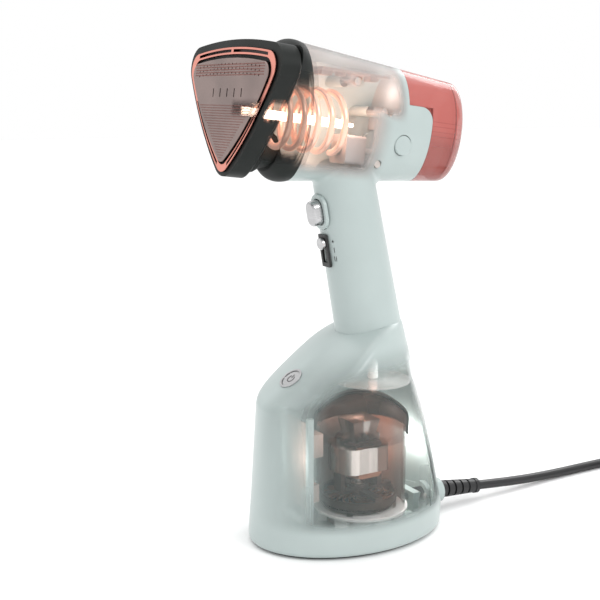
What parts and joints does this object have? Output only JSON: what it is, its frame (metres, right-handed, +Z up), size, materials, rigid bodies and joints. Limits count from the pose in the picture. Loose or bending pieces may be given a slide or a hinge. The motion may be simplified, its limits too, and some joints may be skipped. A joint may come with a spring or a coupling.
{
  "type": "handheld garment steamer",
  "caption": "Handheld garment steamer standing on its own base, with a triangular steam plate, a slide-out water tank, a heater, a pump and a blower inside.",
  "frame": {"origin": "centre of the flat face of the foot ring that the base stands on", "axes": "+Z up, steam leaves towards -X, the cord leaves towards +X, Y runs across"},
  "size_m": [0.4503, 0.1887, 0.3345],
  "materials": {
    "mint_plastic": "smooth satin mint",
    "tank_plastic": "clear coral",
    "trim_metal": "salmon satin metal",
    "black_plastic": "satin black",
    "plate_bronze": "bronze grey coated",
    "silver": "satin silver",
    "steel": "plain",
    "bronze": "dark bronze",
    "copper": "copper",
    "clear_plastic": "clear",
    "white_plastic": "plain",
    "grey_plastic": "plain",
    "board": "board lacquer",
    "rubber": "matte black",
    "silicone": "pale silicone",
    "carbon": "carbon",
    "hot_metal": "hot sheath",
    "brass_blade": "plain"
  },
  "bodies": {
    "stand": {"air_duct": "white_plastic", "base_body": "mint_plastic", "base_bottom": "mint_plastic", "base_screws": "steel", "bearing_block": "steel", "brushes": "carbon", "button_bezel": "mint_plastic", "button_spring": "steel", "chamber_dome": "bronze", "chamber_wall": "clear_plastic", "cord": "rubber", "cord_coil": "rubber", "field_coils": "copper", "foot_ring": "rubber", "handle_board": "board", "head_board": "board", "heater_core": "steel", "heater_rod": "hot_metal", "left_shell": "mint_plastic", "lower_bracket": "bronze", "motor_bearings": "steel", "motor_mount": "white_plastic", "nipple_seal": "silicone", "nozzle_collar": "black_plastic", "nozzle_housing": "black_plastic", "plate_gasket": "rubber", "plate_trim": "trim_metal", "plug": "rubber", "plug_blades": "brass_blade", "power_board": "board", "power_ring": "silver", "power_switch": "black_plastic", "pump_body": "white_plastic", "right_shell": "mint_plastic", "shell_screws": "steel", "slider_plate": "black_plastic", "stator_stack": "steel", "steam_coil": "copper", "steam_plate": "plate_bronze", "strain_relief": "rubber", "suction_hose": "silicone", "tank_dock": "grey_plastic", "thermostat": "steel", "trigger_switch": "black_plastic", "wire_loom": "rubber"},
    "steam_button": {"steam_button": "silver"},
    "mode_slider": {"mode_slider": "silver"},
    "power_button": {"power_button": "silver"},
    "water_tank": {"water_tank": "tank_plastic", "tank_lid": "tank_plastic", "valve_cap": "tank_plastic", "tank_valve_spring": "steel"},
    "filler_plug": {"filler_plug": "black_plastic"},
    "tank_valve": {"tank_valve": "white_plastic"},
    "release_left": {"release_button_left": "mint_plastic"},
    "release_right": {"release_button_right": "mint_plastic"},
    "rotor": {"armature_core": "steel", "armature_winding": "copper", "impeller": "copper"},
    "pump_plunger": {"pump_plunger": "steel"}
  },
  "joints": [
    {"name": "steam_button_press", "type": "slide", "parent": "stand", "child": "steam_button", "axis": [0.9842, 0, 0.1771], "range_m": [0, 0.0025], "stiffness_N_per_m": 300, "springref_m": -0.001, "deforming": ["button_spring"]},
    {"name": "mode_slide", "type": "slide", "parent": "stand", "child": "mode_slider", "axis": [0.1719, 0, -0.9851], "range_m": [0, 0.009]},
    {"name": "power_button_press", "type": "slide", "parent": "stand", "child": "power_button", "axis": [0.5906, 0, -0.807], "range_m": [0, 0.0012], "stiffness_N_per_m": 300, "springref_m": -0.0005},
    {"name": "tank_slide", "type": "slide", "parent": "stand", "child": "water_tank", "axis": [0.9923, 0, -0.1236], "range_m": [0, 0.06]},
    {"name": "filler_plug_pull", "type": "slide", "parent": "water_tank", "child": "filler_plug", "axis": [0.9923, 0, -0.1236], "range_m": [0, 0.014]},
    {"name": "tank_valve_lift", "type": "slide", "parent": "water_tank", "child": "tank_valve", "axis": [0.9923, 0, -0.1236], "range_m": [0, 0.002], "stiffness_N_per_m": 40, "springref_m": -0.001, "deforming": ["tank_valve_spring"]},
    {"name": "release_left_press", "type": "slide", "parent": "stand", "child": "release_left", "axis": [0, 1, 0], "range_m": [0, 0.0015], "stiffness_N_per_m": 300, "springref_m": -0.0005},
    {"name": "release_right_press", "type": "slide", "parent": "stand", "child": "release_right", "axis": [0, -1, 0], "range_m": [0, 0.0015], "stiffness_N_per_m": 300, "springref_m": -0.0005},
    {"name": "fan_spin", "type": "hinge", "parent": "stand", "child": "rotor", "pos_m": [0.01, 0, 0.05], "axis": [0, 0, 1], "continuous": true},
    {"name": "pump_stroke", "type": "slide", "parent": "stand", "child": "pump_plunger", "axis": [0.9923, 0, -0.1236], "range_m": [0, 0.0018], "stiffness_N_per_m": 200, "springref_m": -0.0005}
  ]
}
